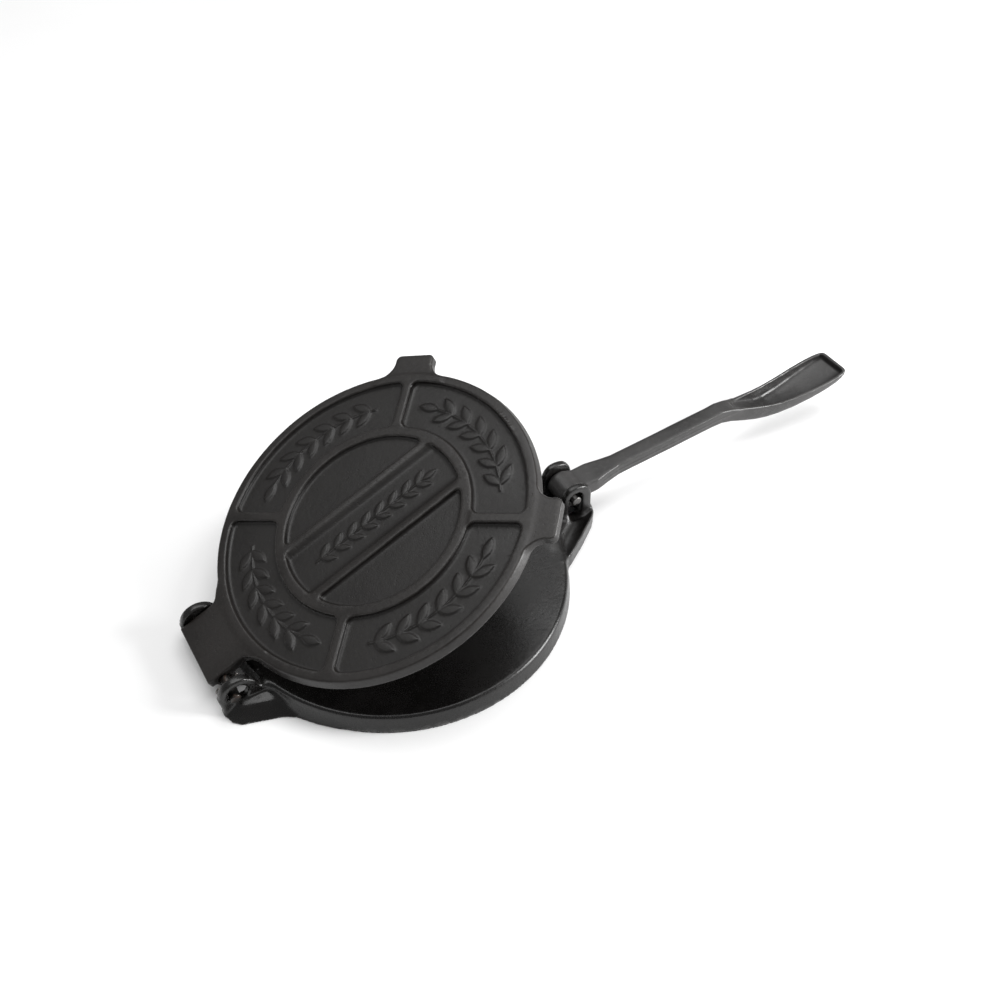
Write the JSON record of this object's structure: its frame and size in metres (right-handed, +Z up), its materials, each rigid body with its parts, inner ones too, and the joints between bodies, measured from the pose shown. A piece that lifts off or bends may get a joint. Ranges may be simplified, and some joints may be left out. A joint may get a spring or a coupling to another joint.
{
  "type": "patty press",
  "caption": "Round cast-iron press with a hinged ribbed top plate and a long swing-over lever that squeezes food flat.",
  "frame": {"origin": "centre of the base disc on the surface the press stands on", "axes": "+X from the rear hinge towards the lever's pivot, +Y along the hinge, +Z up"},
  "size_m": [0.4683, 0.209, 0.1043],
  "materials": {
    "base_iron": "seasoned black, smooth pressing face with a soft gloss",
    "plate_iron": "seasoned black, sand-cast satin",
    "lever_iron": "seasoned black, sand-cast satin",
    "rod_steel": "drawn steel, blackened by seasoning oil",
    "pin_steel": "bent steel wire, darkened, a little rusty",
    "pivot_steel": "plain steel, worn bright at its ends"
  },
  "bodies": {
    "base": {"base_casting": "base_iron"},
    "hinge_rod": {"hinge_rod": "rod_steel", "hinge_split_pin_near": "pin_steel", "hinge_split_pin_far": "pin_steel"},
    "top_plate": {"top_plate": "plate_iron"},
    "lever": {"press_lever": "lever_iron", "pivot_pin": "pivot_steel"}
  },
  "joints": [
    {"name": "lever_swing", "type": "hinge", "parent": "base", "child": "lever", "pos_m": [0.1198, 0, 0.0208], "axis": [0, -1, 0], "range_deg": [0, 160]},
    {"name": "hinge_rod_turn", "type": "hinge", "parent": "base", "child": "hinge_rod", "pos_m": [-0.1148, 0, 0.0134], "axis": [0, -1, 0], "range_deg": [-23.9, 0]},
    {"name": "plate_lift", "type": "hinge", "parent": "hinge_rod", "child": "top_plate", "pos_m": [-0.1148, 0, 0.0134], "axis": [0, -1, 0], "range_deg": [0, 82]}
  ],
  "couplings": [
    {"joint": "hinge_rod_turn", "follows": "lever_swing", "ratio": -0.14938}
  ]
}
